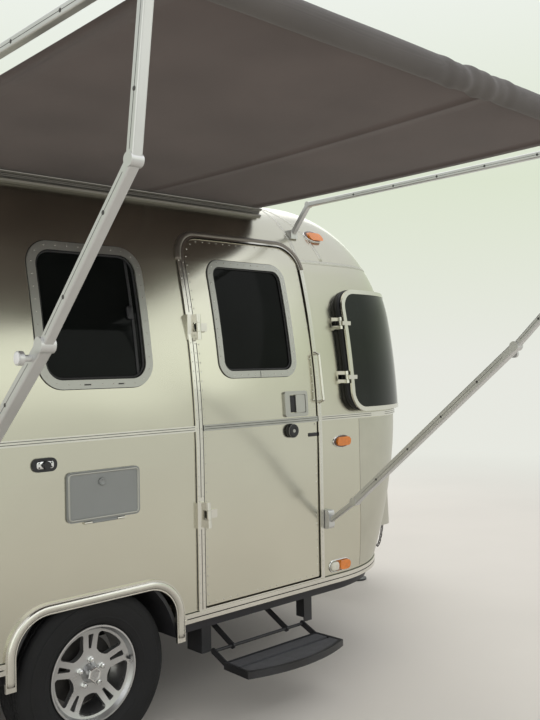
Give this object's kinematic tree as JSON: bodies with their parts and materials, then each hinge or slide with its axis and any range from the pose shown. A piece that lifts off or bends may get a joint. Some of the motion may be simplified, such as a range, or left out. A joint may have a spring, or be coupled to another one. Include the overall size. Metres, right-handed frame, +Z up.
{
  "type": "travel caravan",
  "caption": "Single-axle travel caravan with a rounded riveted aluminium body, side door, folding step, tinted windows and an extended side awning, parked on its tongue jack.",
  "frame": {"origin": "centre of the coupler's ball socket, where the tow ball's centre sits", "axes": "+X forward along the tongue, +Y to the caravan's left, +Z up"},
  "size_m": [5.088, 4.173, 2.86],
  "materials": {
    "alloy": "silver painted alloy",
    "amber_lens": "amber lens",
    "awning_cloth": "woven acrylic, grey brown",
    "awning_metal": "satin anodised",
    "belly": "dark coated sheet",
    "black_steel": "black chassis paint",
    "bright_trim": "polished extrusion",
    "cast": "dark cast metal",
    "cover_paint": "satin silver paint",
    "dark_plastic": "black moulded plastic",
    "floor_board": "sealed board",
    "frame_trim": "satin pressed flange",
    "hatch_paint": "grey painted plate",
    "red_lens": "red lens",
    "skin": "satin bare aluminium skin, clear coated",
    "step_grip": "grey grip strip",
    "step_metal": "satin aluminium",
    "tinted_glass": "dark tinted",
    "tyre": "black rubber",
    "white_plastic": "white moulded plastic"
  },
  "bodies": {
    "caravan": {"air_conditioner": "white_plastic", "awning_arms": "awning_metal", "awning_fabric": "awning_cloth", "awning_rafters": "awning_metal", "awning_rail": "awning_metal", "awning_roller": "awning_cloth", "axle": "black_steel", "belly_pan": "belly", "body_mouldings": "frame_trim", "chassis_frame": "black_steel", "coupler": "cast", "door_catch": "dark_plastic", "floor": "floor_board", "front_cap_lower": "skin", "front_cap_upper": "skin", "gas_bottle_cover": "cover_paint", "grab_handle": "bright_trim", "hinge_brackets": "bright_trim", "jack_tube": "black_steel", "left_service_panels": "hatch_paint", "marker_lamps": "amber_lens", "rear_bumper": "cover_paint", "rear_cap_lower": "skin", "rear_cap_upper": "skin", "roof": "skin", "roof_vent_base": "white_plastic", "safety_chains": "black_steel", "sill_rail": "bright_trim", "step_bracket": "step_metal", "tail_lamps": "red_lens", "wall_left": "skin", "wall_right": "skin", "wheel_arch_trims": "bright_trim", "wheel_wells": "dark_plastic", "window_frames": "frame_trim", "window_glass": "tinted_glass"},
    "wheel_right": {"tyre_right": "tyre", "rim_right": "alloy", "brake_drum_right": "cast"},
    "wheel_left": {"tyre_left": "tyre", "rim_left": "alloy", "brake_drum_left": "cast"},
    "entry_door": {"entry_door": "skin", "door_mouldings": "frame_trim", "door_glass": "tinted_glass", "door_hinge_leaves": "bright_trim", "door_handle": "frame_trim"},
    "service_hatch": {"service_hatch": "hatch_paint"},
    "step_arms": {"step_arms": "step_metal"},
    "step_tread": {"step_tread": "step_metal", "step_tread_pads": "step_grip"},
    "jack_leg": {"jack_leg": "black_steel"},
    "stabiliser_right": {"stabiliser_leg_right": "black_steel"},
    "stabiliser_left": {"stabiliser_leg_left": "black_steel"},
    "guard_right": {"window_guard_right": "tinted_glass", "guard_frame_right": "bright_trim"},
    "guard_left": {"window_guard_left": "tinted_glass", "guard_frame_left": "bright_trim"},
    "roof_vent_lid": {"roof_vent_lid": "white_plastic"}
  },
  "joints": [
    {"name": "wheel_right_spin", "type": "hinge", "parent": "caravan", "child": "wheel_right", "pos_m": [-3.32, -1.085, -0.1105], "axis": [0, 1, 0], "continuous": true},
    {"name": "wheel_left_spin", "type": "hinge", "parent": "caravan", "child": "wheel_left", "pos_m": [-3.32, 1.085, -0.1105], "axis": [0, 1, 0], "continuous": true},
    {"name": "door_swing", "type": "hinge", "parent": "caravan", "child": "entry_door", "pos_m": [-2.744, -1.256, 0.505], "axis": [0, -0.063, -0.998], "range_deg": [0, 170]},
    {"name": "hatch_swing", "type": "hinge", "parent": "caravan", "child": "service_hatch", "pos_m": [-3.293, -1.227, 0.555], "axis": [-1, 0, 0], "range_deg": [-110, 0]},
    {"name": "step_fold", "type": "hinge", "parent": "caravan", "child": "step_arms", "pos_m": [-2.35, -0.95, -0.065], "axis": [1, 0, 0], "range_deg": [0, 140]},
    {"name": "step_tread_turn", "type": "hinge", "parent": "step_arms", "child": "step_tread", "pos_m": [-2.35, -1.165, -0.175], "axis": [1, 0, 0], "range_deg": [-140, 0]},
    {"name": "jack_slide", "type": "slide", "parent": "caravan", "child": "jack_leg", "axis": [0, 0, 1], "range_m": [-0.1, 0.3]},
    {"name": "stabiliser_right_swing", "type": "hinge", "parent": "caravan", "child": "stabiliser_right", "pos_m": [-4.56, -0.7, -0.082], "axis": [0, 1, 0], "range_deg": [0, 60]},
    {"name": "stabiliser_left_swing", "type": "hinge", "parent": "caravan", "child": "stabiliser_left", "pos_m": [-4.56, 0.7, -0.082], "axis": [0, 1, 0], "range_deg": [0, 60]},
    {"name": "guard_right_swing", "type": "hinge", "parent": "caravan", "child": "guard_right", "pos_m": [-1.742, -1.24414, 1.128], "axis": [0, -0.1414, -0.9899], "range_deg": [0, 75]},
    {"name": "guard_left_swing", "type": "hinge", "parent": "caravan", "child": "guard_left", "pos_m": [-1.742, 1.24414, 1.128], "axis": [0, -0.1414, 0.9899], "range_deg": [0, 75]},
    {"name": "roof_vent_swing", "type": "hinge", "parent": "caravan", "child": "roof_vent_lid", "pos_m": [-3.776, 0, 2.211], "axis": [0, -1, 0], "range_deg": [0, 60]}
  ],
  "couplings": [
    {"joint": "step_tread_turn", "follows": "step_fold", "ratio": -1}
  ]
}
